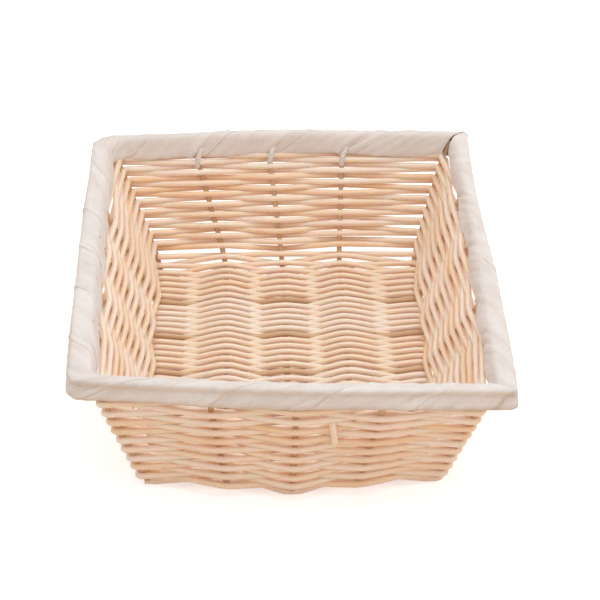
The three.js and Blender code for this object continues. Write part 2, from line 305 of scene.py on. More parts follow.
class Rib:
    """One front-to-back rod: its line, and a place on it for each floor row."""

    def __init__(self, front, back):
        corners = [front.tip, front.top, front.foot, back.foot, back.top, back.tip]
        self.line = bent_line(corners, [0, FRONT_BEND, BACK_BEND, 0])
        self.along = distances(self.line)
        centre = np.argmin(np.abs(self.line[:, 1] - FLOOR_MIDDLE_Y) + self.line[:, 2])
        self.middle = self.along[centre] + FLOOR_MIDDLE_Y - self.line[centre, 1]
        first_z = front.foot[2] + FIRST_COURSE_RISE
        front_run, back_run = slice(0, centre), slice(centre, None)
        down = np.interp([-first_z, FRONT_SAG - first_z], -self.line[front_run, 2], self.along[front_run])
        up = np.interp([first_z, first_z + BACK_CREEP], self.line[back_run, 2], self.along[back_run])
        self.front_seam, self.sagged_seam = down + ROW_PITCH + SEAM_GAP
        self.back_seam, self.crept_seam = up - ROW_PITCH - SEAM_GAP

    def at_row(self, row):
        share = 2 * row / LAST_ROW - 1
        reach = self.middle - self.front_seam if share < 0 else self.back_seam - self.middle
        distance = self.middle + share * reach
        distance += (self.sagged_seam - self.front_seam) * max(0.0, 1 - row / SECTION_ROWS[0])
        distance += (self.crept_seam - self.back_seam) * max(0.0, 1 - (LAST_ROW - row) / SECTION_ROWS[-1])
        near = [distance - ROW_SLOPE_STEP, distance, distance + ROW_SLOPE_STEP]
        before, point, after = np.array([np.interp(near, self.along, axis) for axis in self.line.T]).T
        return point, unit(np.cross([1.0, 0.0, 0.0], after - before))


ribs = [Rib(front, back) for front, back in zip(rib_fronts, rib_backs)]
print("rib lengths:", [round(rib.along[-1]) for rib in ribs], "mm")

# %% [markdown]
# ## Cross rods
# A cross rod lies in the floor in place of a woven row. It goes over the low ribs and under the high
# ones, and its two ends turn up into the side walls. Its line is therefore made from its crossings with
# the ribs, and not drawn straight.

# %% Cross rod lines
CROSSING_AIR = 0.3
ROD_CROSSING = 2 * ROD_RADIUS + CROSSING_AIR
LEFT_RIM_Y = [-79.0, -27.0, 25.0, 77.0]
RIGHT_RIM_Y = [-96.0, -45.0, 27.0, 95.0]
RIGHT_BULGE = [5.0, 1.5, 0.0, 1.5]
SIDE_BOW = 1.5
TIP_LEAN = 3.4


def row_before(section):
    return sum(SECTION_ROWS[:section]) + section - 1


class CrossRod:
    """One side-to-side rod: its line and its two uprights."""

    def __init__(self, index):
        row = row_before(index + 1)
        crossings = []
        for number, rib in enumerate(ribs):
            point, inward = rib.at_row(row)
            crossings.append(point + inward * (-ROD_CROSSING if rib_is_high(number) else ROD_CROSSING))
        bow = vec(SIDE_BOW, 0, 0)
        left_y, right_y = LEFT_RIM_Y[index], RIGHT_RIM_Y[index]
        left_reach = float(side_post_x(left_y) + left_flare(left_y))
        right_reach = float(side_post_x(right_y) + RIGHT_BULGE[index])
        self.left = Upright(crossings[0] - bow, -left_reach, left_y, vec(1, 0, 0), SIDE_BOW, -TIP_LEAN)
        self.right = Upright(crossings[-1] + bow, right_reach, right_y, vec(-1, 0, 0), SIDE_BOW, TIP_LEAN)
        corners = [self.left.tip, self.left.top, self.left.foot, *crossings,
                   self.right.foot, self.right.top, self.right.tip]
        self.line = bent_line(corners, [0, SIDE_BOW, 0, 0, 0, 0, 0, SIDE_BOW, 0])


cross_rods = [CrossRod(i) for i in range(len(LEFT_RIM_Y))]
print("cross rods at y:", [round(rod.left.foot[1], 1) for rod in cross_rods])

# %% [markdown]
# ## A tube for every strand
# Cane and rods are long thin stock, so one maker serves them all: it carries a ring of points along a
# line without twist. A curve with a round bevel would look much the same, but a mesh lets every point
# carry its own map and tone, so that the grain follows the strand. The stock is natural, so its
# thickness wavers a little.

# %% Rings along a line
WAVES = 4
WAVE_SPREAD = (0.6, 1.7)
LONG_WAVER = (60, 0.05)
SHORT_WAVER = (9, 0.025)
NO_STRAND_WAY = [0.31, 0.52, 0.79]
rng = np.random.default_rng(20)


def waver(distance, wave, amount):
    """Slow uneven change along a length: a few random waves of about the given length."""
    lengths = wave * rng.uniform(*WAVE_SPREAD, WAVES)
    phases = rng.uniform(0, 2 * np.pi, WAVES)
    waves = [np.sin(2 * np.pi * distance / length + phase) for length, phase in zip(lengths, phases)]
    return amount * np.mean(waves, axis=0)


def carried_frames(line):
    """Directions along the line and across it, carried from ring to ring without twist."""
    along = np.gradient(line, axis=0)
    along /= np.linalg.norm(along, axis=1)[:, None]
    across = np.empty_like(along)
    across[0] = unit(np.cross(along[0], NO_STRAND_WAY))
    for i in range(1, len(line)):
        across[i] = unit(across[i - 1] - along[i] * (across[i - 1] @ along[i]))
    return across, np.cross(along, across)


def tube_parts(line, radius, sides, tone):
    across, upward = carried_frames(line)
    distance = distances(line)
    turn = np.linspace(0, 2 * np.pi, sides, endpoint=False)
    thick = radius * (1 + waver(distance, *LONG_WAVER) + waver(distance, *SHORT_WAVER))
    ring = np.cos(turn)[None, :, None] * across[:, None] + np.sin(turn)[None, :, None] * upward[:, None]
    points = line[:, None] + ring * thick[:, None, None]
    here = np.arange(len(line) - 1)[:, None] * sides + np.arange(sides)[None]
    there = np.arange(len(line) - 1)[:, None] * sides + (np.arange(sides)[None] + 1) % sides
    faces = np.stack([here, there, there + sides, here + sides], axis=-1).reshape(-1, 4)
    ends = [list(range(sides))[::-1], list(range((len(line) - 1) * sides, len(line) * sides))]
    grain = np.stack([
        np.repeat(distance[:, None], sides, axis=1),
        np.repeat(turn[None] * radius, len(line), axis=0),
    ], axis=-1)
    return points.reshape(-1, 3), faces, ends, grain.reshape(-1, 2), np.full(len(line) * sides, tone)


print("thickness wavers by up to", LONG_WAVER[1] + SHORT_WAVER[1], "of the radius")


# %% Pieces from points
GRAIN_SPREAD = 500
MIDDLE_TONE = 0.5


def make_piece(name, points, faces, grain):
    """A smooth object; `grain` is each point's place along and across its stock, for the finishes."""
    mesh = bpy.data.meshes.new(name)
    mesh.from_pydata((points * MM).tolist(), [], faces)
    mesh.attributes.new("grain", "FLOAT_VECTOR", "POINT").data.foreach_set("vector", (grain * MM).ravel())
    mesh.shade_smooth()
    piece = bpy.data.objects.new(name, mesh)
    bpy.context.collection.objects.link(piece)
    return piece


def set_tone(piece, tones):
    """How pale each point's stock is, 0 to 1."""
    piece.data.attributes.new("tone", "FLOAT", "POINT").data.foreach_set("value", tones)


def make_tubes(name, lines, radius, sides, tones):
    """One object of one or more tubes, with its grain and tone."""
    points, faces, grains, shades = [], [], [], []
    count = 0
    for line, tone in zip(lines, tones):
        ring_points, quads, ends, grain, shade = tube_parts(line, radius, sides, tone)
        points.append(ring_points)
        faces.extend((quads + count).tolist())
        faces.extend([[i + count for i in end] for end in ends])
        grains.append(grain + rng.uniform(0, GRAIN_SPREAD, 2))
        shades.append(shade)
        count += len(ring_points)
    flat_grain = np.concatenate(grains)
    grain = np.column_stack([flat_grain, np.zeros(len(flat_grain))])
    piece = make_piece(name, np.concatenate(points), faces, grain)
    set_tone(piece, np.concatenate(shades))
    return piece


def settle(piece, slot, *nodes):
    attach(piece, "root")
    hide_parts(*nodes)
    return piece


# %% [markdown]
# ## Rods
# The rods are coloured darker than the cane, with streaks along them, and show only where the weave
# opens.
# Their darkness is partly a greyer tone of their own and partly painted shade, for the gaps they show
# through. The solids have flat sides. Each rod is made again as a round tube with finer steps and stands
# for its solid.

# %% Make the rods
ROD_SIDES = 14
RIB_NODES = ["rib_left_corner", "rib_left", "rib_middle", "rib_right", "rib_right_corner"]
rod_lines = {node: rib.line for node, rib in zip(RIB_NODES, ribs)}
for index, cross_rod in enumerate(cross_rods):
    rod_lines[f"cross_rod_{index + 1}"] = cross_rod.line
rods = []
for node, line in rod_lines.items():
    rod = make_tubes("rod_" + node, [line], ROD_RADIUS, ROD_SIDES, [rng.random()])
    rods.append(settle(rod, "rod", node))
print("rods:", len(rods))

# %% [markdown]
# ## Smooth strands
# A springy strand that is held at each upright and free between them takes the form of a cubic curve
# that runs along the wall at every upright. A sine wave could stand for it on a straight wall, but not
# round a corner. So a strand is given as stops, each a point and a direction, and cubic spans join them.

# %% Cubic spans
STRAND_STEP = 1.6
STRAND_SIDES = 12


def strand_line(stops, ease=1.0):
    """Cubic spans through the stops; a lower ease gives straighter spans and tighter bends."""
    spans = []
    for (a, from_a), (b, to_b) in zip(stops, stops[1:]):
        length = np.linalg.norm(b - a)
        t = np.linspace(0, 1, max(2, round(length / STRAND_STEP) + 1))[:-1, None]
        spans.append(
            (2 * t**3 - 3 * t**2 + 1) * a + (3 * t**2 - 2 * t**3) * b
            + ((t**3 - 2 * t**2 + t) * from_a + (t**3 - t**2) * to_b) * length * ease
        )
    spans.append(stops[-1][0][None])
    return np.concatenate(spans)


print("a strand has a ring about every", STRAND_STEP, "mm")

# %% [markdown]
# ## Floor
# The floor is five lengths of cane that run to and fro across the ribs, with a cross rod between two
# lengths. A row goes under the low ribs and over the high ones, and the next comes back the other way.
# At the end of each row the strand turns round the outer rib. Separate rows would be quicker to make,
# but their cut ends would show all along the sides.

# %% Floor stops
TURN_STEPS = 6
FLOOR_EASE = 0.55
EAST = vec(1, 0, 0)


def pass_rib(rib, row, angle, way, shift=0.0):
    """A stop at a rib: angle 0 is under it, half a turn is over it."""
    point, inward = ribs[rib].at_row(row)
    outer = EAST * np.sign(RIB_FLOOR_X[rib])
    to_rib = inward * math.cos(angle) - outer * math.sin(angle)
    return point - to_rib * WEAVE_OFFSET + EAST * shift, way


def row_stops(row, crimped):
    way = EAST if crimped else -EAST
    order = range(5) if crimped else range(4, -1, -1)
    return [pass_rib(rib, row, math.pi if crimped == rib_is_high(rib) else 0.0, way) for rib in order]


def turn_stops(row, crimped):
    rib = 4 if crimped else 0
    places = []
    for share in np.linspace(0, 1, TURN_STEPS + 1):
        angle = math.pi * (share if crimped else 1 - share)
        places.append(pass_rib(rib, row + share, angle, None)[0])
    return [(places[i], unit(places[i + 1] - places[i - 1])) for i in range(1, TURN_STEPS)]


def floor_stops(section):
    first = row_before(section) + 1
    rows = SECTION_ROWS[section]
    stops = [pass_rib(0, first, 0.0, EAST, -ROD_RADIUS)]
    for i in range(rows):
        crimped = i % 2 == 0
        stops += row_stops(first + i, crimped)
        if i < rows - 1:
            stops += turn_stops(first + i, crimped)
    return stops


print("stops in the first length:", len(floor_stops(0)))

# %% Make the floor
FLOOR_WANDER = (45, 0.35)
floors = []
for section in range(len(SECTION_ROWS)):
    node = f"floor_strand_{section + 1}"
    line = strand_line(floor_stops(section), FLOOR_EASE)
    line[:, 1] += waver(distances(line), *FLOOR_WANDER)
    line[:, 2] = np.maximum(line[:, 2], FLOOR_STRAND_RADIUS)
    floor = make_tubes("cane_" + node, [line], FLOOR_STRAND_RADIUS, STRAND_SIDES, [rng.random()])
    floors.append(settle(floor, "cane", node))
print("floor strands:", len(floors))

# %% [markdown]
# ## Walls
# Eighteen uprights stand round the basket. A course goes outside one and inside the next, and the
# course above it does the opposite. At a corner it either bends round the outside of the post or cuts
# the corner inside it. One spiral strand could make the whole wall, but a course that goes once round
# is one piece of the frame, and stays level.

# %% Ring of uprights
WALLS = [
    (vec(0, -1, 0), rib_fronts),
    (vec(1, 0, 0), [rod.right for rod in cross_rods]),
    (vec(0, 1, 0), rib_backs[::-1]),
    (vec(-1, 0, 0), [rod.left for rod in cross_rods[::-1]]),
]
posts = [(upright, out) for out, uprights in WALLS for upright in uprights]
CORNER_POSTS = [0, 4, 9, 13]
PLAIN_POSTS = [post for post in range(len(posts)) if post not in CORNER_POSTS]
FRONT_MIDDLE = 2
LAST_COURSE_Z = 71.2
TOP_RISE = 0.5
BACK_TOP_RISE = 1.6
SIDE_SAG = 3.2


def course_z(course, post):
    """Height of a course at a post. The low courses have slid down a little, and at the back up."""
    upright, out = posts[post]
    slide = -FRONT_SAG if out[1] < 0 else BACK_CREEP if out[1] > 0 else -SIDE_SAG
    first_z = upright.foot[2] + FIRST_COURSE_RISE + slide
    top_rise = BACK_TOP_RISE + back_arch(upright.top[0]) if out[1] > 0 else TOP_RISE
    last_z = LAST_COURSE_Z + rim_rise(upright.top[1]) + top_rise
    return first_z + course * (last_z - first_z) / (COURSES - 1)


def is_outside(course, post):
    return (course + post) % 2 == 1


def way_along(out):
    return vec(-out[1], out[0], 0)


print("uprights:", len(posts))

# %% Passing an upright
SIDE_WEAVE_OFFSET = 3.2
POST_FLAT = 0.5
OUTER_CORNER = (2.9, 1.0)
INNER_CORNER = (-2.2, -4.2)
BACK_CORNER_LIFT = 2.0
UNEVEN_HEIGHT = 0.22
waviness = rng.normal(0, UNEVEN_HEIGHT, (COURSES, len(posts)))


def pass_post(course, post):
    """The two stops of a course at an upright, before and after its middle."""
    upright, out = posts[post]
    z = course_z(course, post) + waviness[course, post]
    centre = upright.at(z)
    outside = is_outside(course, post)
    swing = SIDE_WEAVE_OFFSET if out[0] else WEAVE_OFFSET
    if post not in CORNER_POSTS:
        before = posts[post - 1][0].at(z)
        after = posts[(post + 1) % len(posts)][0].at(z)
        way = unit((after - before) * [1, 1, 0])
        spot = centre + upright.square_to(out, z) * (swing if outside else -swing)
        return [(spot - way * POST_FLAT, way), (spot + way * POST_FLAT, way)]
    first_out = posts[post - 1][1]
    second_out = posts[(post + 1) % len(posts)][1]
    first, second = upright.square_to(first_out, z), upright.square_to(second_out, z)
    near, far = OUTER_CORNER if outside else INNER_CORNER
    if outside and out[1] > 0:
        centre = upright.at(z + BACK_CORNER_LIFT)
    return [
        (centre + first * near + second * far, way_along(first_out)),
        (centre + second * near + first * far, way_along(second_out)),
    ]


print("uneven by up to", round(float(np.abs(waviness).max()), 2), "mm")

# %% Course stops
END_GAP = 0.1
CORNER_PULL = 1.6
SAME_WALL = 0.5


def straighten_corners(stops):
    """A strand leaves a corner straight towards the next upright, not along the wall."""
    eased = list(stops)
    for i in range(1, len(stops) - 1):
        place, way = stops[i]
        before, after = stops[i - 1], stops[i + 1]
        if way @ after[1] < SAME_WALL:
            eased[i] = (place, unit(way + CORNER_PULL * unit(place - before[0])))
        elif way @ before[1] < SAME_WALL:
            eased[i] = (place, unit(way + CORNER_PULL * unit(after[0] - place)))
    return eased


def course_stops(course, start):
    """Once round from the middle of one upright, where the two cut ends meet, back to it."""
    (before, way), (after, _) = pass_post(course, start)
    middle = (before + after) / 2
    stops = [(middle + way * END_GAP, way)]
    for i in range(len(posts) + 1):
        stops += pass_post(course, (start + i) % len(posts))
    del stops[1], stops[-1]
    return straighten_corners([*stops, (middle - way * END_GAP, way)])


print("stops in a course:", len(course_stops(0, FRONT_MIDDLE)))

# %% Loose tail
TAIL_COURSE = 14
TAIL_SHARE = 0.455
TAIL_LEAN = 0.055
TAIL_LENGTH = 12.8
TAIL_PROUD = 3.9
TAIL_SPRING = 0.3
KNEE_DROP = 0.4
BUTT_DEPTH = 0.8
HIDDEN_ASIDE = 0.03
HIDDEN_RISE = 2.6
HIDDEN_DEPTH = 1.4


def tail_stops(course):
    """The course with the loose end comes out past the middle of the front wall and hangs down."""
    stops = course_stops(course, FRONT_MIDDLE + 1)[:-2]
    upright, out = posts[FRONT_MIDDLE]

    def on_wall(share, drop, proud):
        """A place by its share of the way to the next upright, its drop and how far it stands out."""
        both = (FRONT_MIDDLE, FRONT_MIDDLE + 1)
        here, there = [posts[post][0].at(course_z(course, post) - drop) for post in both]
        return here + (there - here) * share + upright.square_to(out, here[2]) * proud

    stops[0] = (on_wall(TAIL_SHARE, 0.0, -BUTT_DEPTH), EAST)
    hidden = on_wall(TAIL_SHARE - HIDDEN_ASIDE, -HIDDEN_RISE, -HIDDEN_DEPTH)
    knee = on_wall(TAIL_SHARE, KNEE_DROP, TAIL_PROUD)
    end = on_wall(TAIL_SHARE + TAIL_LEAN, TAIL_LENGTH, TAIL_PROUD + TAIL_SPRING)
    stops.append((hidden, unit(EAST + out)))
    stops.append((knee, unit(end - knee)))
    stops.append((end, unit(end - knee)))
    return stops


print("the tail ends at z", round(tail_stops(TAIL_COURSE)[-1][0][2], 1), "mm")

# %% Make the courses
WALL_EASE = 0.4
START_STEP = 5
COURSE_WANDER = (80, 0.3)


def hides_ends(course, post):
    """Cut ends are left inside the front wall and outside the other walls."""
    on_front = posts[post][1][1] < 0
    return is_outside(course, post) != on_front


courses = []
for course in range(COURSES):
    starts = [post for post in PLAIN_POSTS if hides_ends(course, post)]
    start = starts[(START_STEP * course) % len(starts)]
    stops = tail_stops(course) if course == TAIL_COURSE else course_stops(course, start)
    line = strand_line(stops, WALL_EASE)
    line[:, 2] += waver(distances(line), *COURSE_WANDER)
    node = f"wall_course_{course + 1:02d}"
    piece = make_tubes("cane_" + node, [line], WALL_STRAND_RADIUS, STRAND_SIDES, [rng.random()])
    courses.append(settle(piece, "cane", node))
print("courses:", len(courses))

# %% [markdown]
# ## Rim
# Inside the cloth a bent strip of wood runs round the rim, outside the uprights. The cotton is a narrow
# strip wound over both, about one turn for each upright. A section could be swept along a curve, but the
# side rims are wider than the end rims and meet them in a mitre. So one function gives a place from the
# distance round the rim and the place in the section, and both pieces use it.

# %% Line round the rim
CORNERS = np.array([[1, 1], [1, -1], [-1, -1], [-1, 1]])
SIDE_RUN = 2 * RIM_POST_Y
END_RUN = 2 * RIM_POST_X
RUNS = np.array([SIDE_RUN, END_RUN, SIDE_RUN, END_RUN])
RUN_STARTS = np.concatenate([[0.0], np.cumsum(RUNS)])
RIM_ROUND = RUN_STARTS[-1]
INNER_RIM_REACH = 2.9
SIDE_EXTRA_WIDTH = 3.0
INNER_SHIFT = 4.2
FRONT_RIGHT_SHIFT = 2.6
FRONT_RIGHT_SHARE = 0.45
FRONT_DEEPER = 3.4


def side_spread(hand, y, out):
    """How much further out the left rim lies, and how the widths of both side rims change along them."""
    share = np.clip(along_share(y), 0, 1)
    outer = np.clip(out / SIDE_RIM_REACH, 0, 1)
    inner = 1 - np.clip((out + INNER_RIM_REACH) / (SIDE_RIM_REACH + INNER_RIM_REACH), 0, 1)
    left = left_flare(y) + SIDE_EXTRA_WIDTH * (1 - share) * outer + INNER_SHIFT * inner
    front_right = FRONT_RIGHT_SHIFT * np.clip(1 - share / FRONT_RIGHT_SHARE, 0, 1)
    wave = SIDE_EXTRA_WIDTH * np.cos(1.5 * np.pi * share ** 1.3)
    right = wave * outer + (INNER_SHIFT + front_right) * inner
    return np.where(hand < 0, left, right)


def end_spread(end, out):
    """The front rim is deeper from front to back than the back one; its inner face lies further in."""
    inner = 1 - np.clip((out + INNER_RIM_REACH) / (END_RIM_REACH + INNER_RIM_REACH), 0, 1)
    return np.where(end < 0, -FRONT_DEEPER * inner, 0.0)


def mitred_place(distance, side_out, end_out):
    """Plan of the rim, clockwise from the back right corner, as x and y."""
    distance = np.clip(distance, 0.0, RIM_ROUND - 1e-6)
    run = np.searchsorted(RUN_STARTS, distance, side="right") - 1
    share = (distance - RUN_STARTS[run]) / RUNS[run]
    ends = []
    for corner in (CORNERS[run], CORNERS[(run + 1) % 4]):
        hand, end = corner[..., 0], corner[..., 1]
        x = hand * (RIM_POST_X + side_out + side_spread(hand, end * RIM_POST_Y, side_out))
        ends.append((x, end_post_y(end, x) + end * (end_out + end_spread(end, end_out))))
    (x0, y0), (x1, y1) = ends
    x = x0 + (x1 - x0) * share
    y = y0 + (y1 - y0) * share
    on_side = run % 2 == 0
    hand, end = CORNERS[run][..., 0], CORNERS[run][..., 1]
    side_x = hand * (side_post_x(y) + side_out + side_spread(hand, y, side_out))
    end_y = end_post_y(end, x) + end * (end_out + end_spread(end, end_out))
    return np.where(on_side, side_x, x), np.where(on_side, y, end_y)


print("way round the rim:", round(RIM_ROUND), "mm")

# %% Soft corners
CORNER_RADII = [2.5, 8.0, 13.0]
CORNER_SPREAD = 20.0
SOFT_STEPS = 7
BACK_STRETCH = (0.5, 2.5)


def corner_softness(distance):
    """Radius over which the line is eased: a sharp front right corner, softer left ones."""
    near = zip(RUN_STARTS[1:4], CORNER_RADII)
    soft = sum(radius * np.exp(-((distance - place) / CORNER_SPREAD) ** 2) for place, radius in near)
    return np.minimum(soft, np.minimum(distance, RIM_ROUND - distance))


def rim_place(distance, side_out, end_out, z):
    """A place on the rim: how far round it, how far out on its sides and its ends, and how high."""
    soft = corner_softness(distance)
    steps = np.linspace(-1, 1, SOFT_STEPS)
    plan = [mitred_place(distance + soft * step, side_out, end_out) for step in steps]
    x, y = np.mean(plan, axis=0)
    from_low, from_high = BACK_STRETCH
    share = (z - RIM_BOTTOM_Z) / (HEIGHT - RIM_BOTTOM_Z)
    stretch = from_low + (from_high - from_low) * share + back_arch(x)
    taller = stretch * np.clip(2 * along_share(y) - 1, 0, 1) ** 2
    return np.stack([x, y, z + rim_rise(y) + taller], axis=-1)


print("front left corner of the rim:", rim_place(RUN_STARTS[2], 0.0, 0.0, HEIGHT).round(1))

# %% Section of the rim
SQUARENESS = 3.4
HALF_ACROSS = 6.5
HALF_HIGH = 8.0
TABLE_STEPS = 2001
LOWER_INNER_ANGLE = np.radians(225)


def section_table():
    """Angles of a rounded rectangle at equal steps of its outline, from the lower inner corner up."""
    angle = LOWER_INNER_ANGLE - np.linspace(0, 2 * np.pi, TABLE_STEPS)
    across = np.sign(np.cos(angle)) * np.abs(np.cos(angle)) ** (2 / SQUARENESS)
    high = np.sign(np.sin(angle)) * np.abs(np.sin(angle)) ** (2 / SQUARENESS)
    along = distances(np.column_stack([across * HALF_ACROSS, high * HALF_HIGH]))
    return along / along[-1], across, high


SECTION = section_table()


def section_place(turn):
    """Place in the section, -1 to 1 across and up, for a share of one turn round it."""
    share = np.mod(turn, 1.0)
    return np.interp(share, SECTION[0], SECTION[1]), np.interp(share, SECTION[0], SECTION[2])


print("section starts at", [round(float(place), 2) for place in section_place(0.0)])

# %% Rim core
CORE_STEPS = 240
CORE_SIDES = 28
CORE_INNER = 2.3
CORE_LOW = 74.8
CORE_HIGH = 86.8
CORE_COVER = 2.5
CORE_GRAIN = 20


def make_core():
    """The bent strip: one closed ring of the section, a little inside the cloth."""
    distance = np.linspace(0, RIM_ROUND, CORE_STEPS, endpoint=False)[:, None]
    across, high = section_place(np.linspace(0, 1, CORE_SIDES, endpoint=False)[None])

    def out(reach):
        return CORE_INNER + (reach - CORE_COVER - CORE_INNER) * (across + 1) / 2 + 0 * distance

    z = CORE_LOW + (CORE_HIGH - CORE_LOW) * (high + 1) / 2 + 0 * distance
    distance = distance + 0 * z
    points = rim_place(distance, out(SIDE_RIM_REACH), out(END_RIM_REACH), z)
    here = np.arange(CORE_STEPS)[:, None] * CORE_SIDES
    there = (np.arange(CORE_STEPS)[:, None] + 1) % CORE_STEPS * CORE_SIDES
    side = np.arange(CORE_SIDES)[None]
    after = (side + 1) % CORE_SIDES
    faces = np.stack([here + side, here + after, there + after, there + side], axis=-1)
    grain = np.stack([distance, CORE_GRAIN * (across + high) + 0 * distance, z], axis=-1)
    piece = make_piece("rim_core", points.reshape(-1, 3), faces.reshape(-1, 4).tolist(), grain)
    set_tone(piece, np.full(points.size // 3, MIDDLE_TONE))
    return settle(piece, "hoop", "rim_hoop")


core = make_core()
print("rim core:", len(core.data.polygons), "faces")

# %% [markdown]
# ## Cloth strip
# The strip is a helix. Its trailing edge lies on the turn before it, and its leading edge is under the
# next turn, so each overlap shows as one slanting edge. The turns are placed by the uprights: the
# winder passed the strip between each pair. It starts and ends at the back right corner, where the rim
# shows a slit. A cloth simulation could wind it, but the strip is held tight and its overlaps must lie at
# the uprights. So it is laid out as a grid in turns and in width, then carried to the rim.

# %% Places of the turns
RUN_POSTS = [[8, 7, 6, 5], [3, 2, 1], [17, 16, 15, 14], [12, 11, 10]]
SLIT_TOP = 0.4
SLIT_FOOT = 5.0


def find_turns():
    """Distance round the rim of each turn, from the back right corner clockwise and back to it."""
    places = [0.0]
    for run, plain in enumerate(RUN_POSTS):
        axis = 1 - run % 2
        corner = CORNERS[run][axis] * (RIM_POST_X, RIM_POST_Y)[axis]
        places += [RUN_STARTS[run] + abs(posts[post][0].top[axis] - corner) for post in plain]
        places.append(RUN_STARTS[run + 1])
    return np.array(places)


turn_places = find_turns()
TURNS = len(turn_places) - 1
print("turns start at:", [round(place) for place in turn_places])

# %% Grid of the strip
STEPS_PER_TURN = 60
STEPS_ACROSS = 38
OVERLAP = 9.0
STRIP_THICK = 0.35
EDGE_LIFT = 0.45
EDGE_ROUND = 0.3
BOTTOM_SHARE = 0.22
BOTTOM_HOLD = 0.8
BOTTOM_ADVANCE = 0.15
END_TRIM = 0.02


def turn_to_distance(turn):
    """Where the strip's trailing edge is after so many turns. It hardly moves along under the rim."""
    whole = np.floor(turn)
    part = np.clip((turn - whole) / (1 - BOTTOM_SHARE * BOTTOM_HOLD), 0, 1)
    eased = whole + (1 - BOTTOM_ADVANCE) * part + BOTTOM_ADVANCE * (turn - whole)
    return np.interp(eased, np.arange(TURNS + 1), turn_places)


turn = np.linspace(END_TRIM - 1, TURNS - END_TRIM, STEPS_PER_TURN * (TURNS + 1))[:, None]
width = np.linspace(0, 1, STEPS_ACROSS)[None]
trailing = turn_to_distance(np.maximum(turn, 0)) + 0 * width
leading = np.minimum(turn_to_distance(np.minimum(turn + 1, TURNS - 1e-6)) + OVERLAP, turn_places[-1])
across, high = section_place(turn + 0 * width)
inner_low = np.clip(-across, 0, 1) * (1 - high) / 2
slit = SLIT_TOP + (SLIT_FOOT - SLIT_TOP) * inner_low
rim_distance = np.clip(trailing + (leading - trailing) * width, slit, RIM_ROUND - slit)
print("strip grid:", rim_distance.shape)

# %% [markdown]
# ## Folds
# Cloth that is wound by hand never lies quite flat. Small pleats run with the edges, the whole rim
# swells and sinks softly, and each gather on the inside throws folds that fan out from it.

# %% Folds from the gathers
INNER_SHARE = 0.276
SWELLS = 6
SWELL_SPREAD = (0.6, 1.8)
SWELL_SUM = 3.5
FOLD_CURVE = 1.2
FOLD_WIDTH = 1.5
FOLD_WIDENING = 2.0
FOLD_FADE = 1.3
VALLEY_DEPTH = 0.9
VALLEY_WIDTH = 1.3
BUNCH_HEIGHT = 0.7
BUNCH_WIDTH = 3.5
BUNCH_FADE = 0.35
GATHERS = turn_places[[k for k in range(1, TURNS) if k not in (5, 9, 14)]]
gather_draw = np.random.default_rng(11)
GATHER_LEAN = gather_draw.uniform(9, 17, len(GATHERS))
GATHER_DEPTH = gather_draw.uniform(0.7, 1.25, len(GATHERS))


def soft_waves(distance, turn_share, wave, seed):
    """Smooth uneven swell over the rim's surface."""
    draw = np.random.default_rng(seed)
    total = np.zeros(np.broadcast(distance, turn_share).shape)
    for _ in range(SWELLS):
        length = wave * draw.uniform(*SWELL_SPREAD)
        lean = draw.integers(-2, 3)
        phase = draw.uniform(0, 2 * np.pi)
        total += np.sin(2 * np.pi * (distance / length + lean * turn_share) + phase)
    return total / SWELL_SUM


def fan_folds(share, distance):
    """A ridge and a valley that lean away clockwise from each gather, up the inner face."""
    up = share / INNER_SHARE
    folds = np.zeros(np.broadcast(share, distance).shape)
    for place, lean, depth in zip(GATHERS, GATHER_LEAN, GATHER_DEPTH):
        beside = distance - place - lean * up ** FOLD_CURVE
        wide = FOLD_WIDTH + FOLD_WIDENING * up
        fade = depth * np.exp(-(up / FOLD_FADE) ** 2)
        ridge = np.exp(-(beside / wide) ** 2)
        valley = np.exp(-((beside - 2 * wide) / (VALLEY_WIDTH * wide)) ** 2)
        folds += fade * (ridge - VALLEY_DEPTH * valley)
        bunch = np.exp(-((distance - place) / BUNCH_WIDTH) ** 2 - (up / BUNCH_FADE) ** 2)
        folds += BUNCH_HEIGHT * depth * bunch
    return folds


print("gathers with folds:", len(GATHERS))

# %% Hollow and crease
FULL_FOOT = (0.6, 0.72, 0.05)
HOLLOW_TOP = (-1.1, 0.58, 0.06)
MITRE_SLANT = 10.5
MITRE_DEPTH = 1.3
MITRE_WIDTH = 1.4
MITRE_FROM = 0.2
MITRE_TO = 0.8
OUTER_SHARE = 0.5
OUTER_FALL = 0.25


def face_hollow(share):
    """The outer face is a little hollow near its top and full near its bottom."""
    forms = (FULL_FOOT, HOLLOW_TOP)
    return sum(height * np.exp(-((share - place) / width) ** 2) for height, place, width in forms)


def mitre_crease(share, distance):
    """At the front right corner the strip is folded: a crease slants over the top and down the front."""
    place = RUN_STARTS[1] + MITRE_SLANT * np.clip((share - OUTER_SHARE) / OUTER_FALL, 0, 1)
    crease = np.exp(-((distance - place) / MITRE_WIDTH) ** 2)
    return -MITRE_DEPTH * crease * (share > MITRE_FROM) * (share < MITRE_TO)


print("deepest crease:", MITRE_DEPTH, "mm")

# %% Lift of the strip
EDGE_FADE = 5.5
ROUND_FADE = 0.8
PLEAT_PITCH = 11.0
PLEAT_WANDER = 1.7
PLEAT_DEPTH = 0.22
PLEAT_LEVEL = 0.6
SWELL_DEPTH = 0.55


